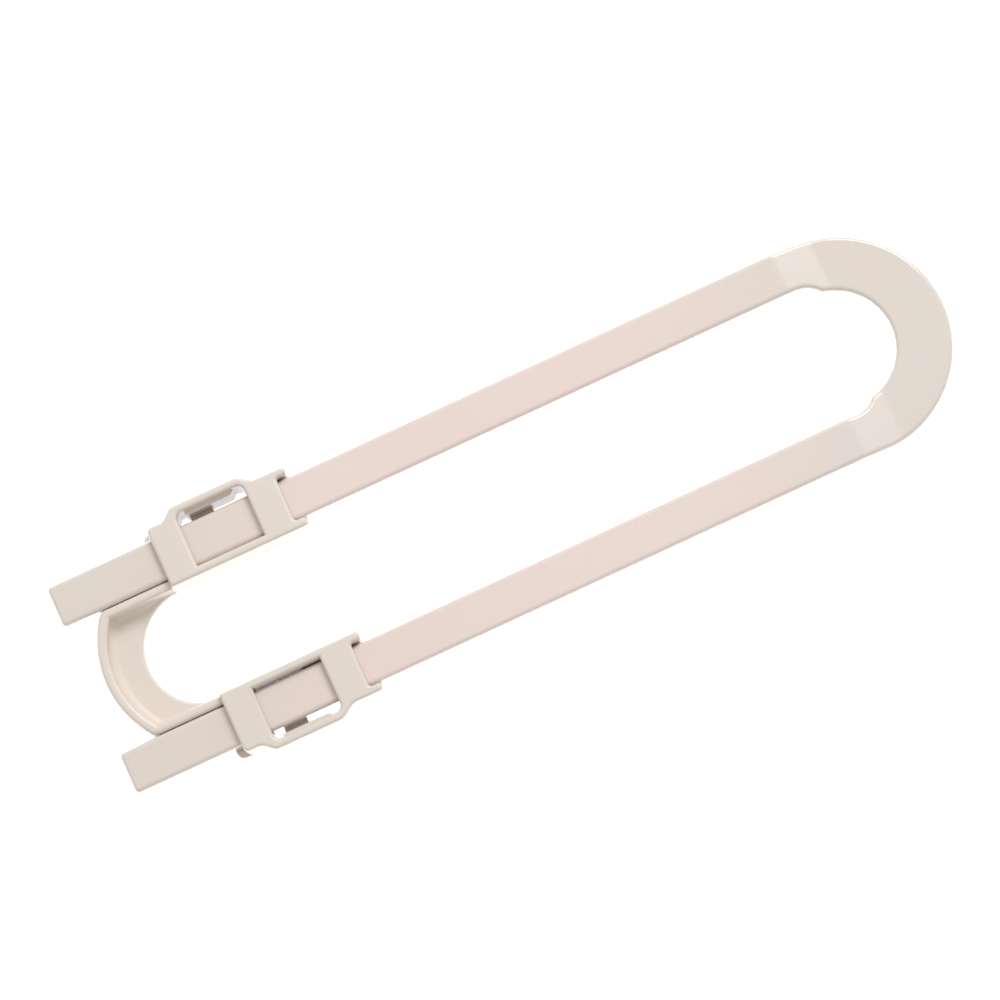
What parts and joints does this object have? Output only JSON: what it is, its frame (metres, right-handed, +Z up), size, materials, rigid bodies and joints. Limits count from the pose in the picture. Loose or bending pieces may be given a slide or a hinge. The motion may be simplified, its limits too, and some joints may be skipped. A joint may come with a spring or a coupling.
{
  "type": "cabinet safety lock",
  "caption": "Child safety lock for cabinet doors: a long hairpin bar goes round both handles and a ratchet slider with squeeze bars closes its open end.",
  "frame": {"origin": "middle of the outline at rest, on the surface that the lock lies on", "axes": "+X along the arms towards the bend, +Y across the arms to the left, +Z up from the surface"},
  "size_m": [0.2208, 0.0634, 0.0094],
  "materials": {
    "bar_plastic": "satin moulded, warm off-white",
    "slider_plastic": "satin moulded, warm off-white"
  },
  "bodies": {
    "hairpin": {"end_bend": "bar_plastic", "left_arm": "bar_plastic", "right_arm": "bar_plastic", "left_rack": "bar_plastic", "right_rack": "bar_plastic"},
    "slider": {"bridge": "slider_plastic", "left_buckle": "slider_plastic", "right_buckle": "slider_plastic", "left_tail_flexure": "slider_plastic", "left_bend_flexure": "slider_plastic", "right_tail_flexure": "slider_plastic", "right_bend_flexure": "slider_plastic"},
    "left_button": {"left_thumb_bar": "slider_plastic", "left_pawl": "slider_plastic"},
    "right_button": {"right_thumb_bar": "slider_plastic", "right_pawl": "slider_plastic"}
  },
  "joints": [
    {"name": "slider_slide", "type": "slide", "parent": "hairpin", "child": "slider", "axis": [1, 0, 0], "range_m": [-0.024, 0.12]},
    {"name": "left_press", "type": "slide", "parent": "slider", "child": "left_button", "axis": [0, -1, 0], "range_m": [0, 0.0015], "stiffness_N_per_m": 3000},
    {"name": "right_press", "type": "slide", "parent": "slider", "child": "right_button", "axis": [0, 1, 0], "range_m": [0, 0.0015], "stiffness_N_per_m": 3000}
  ]
}
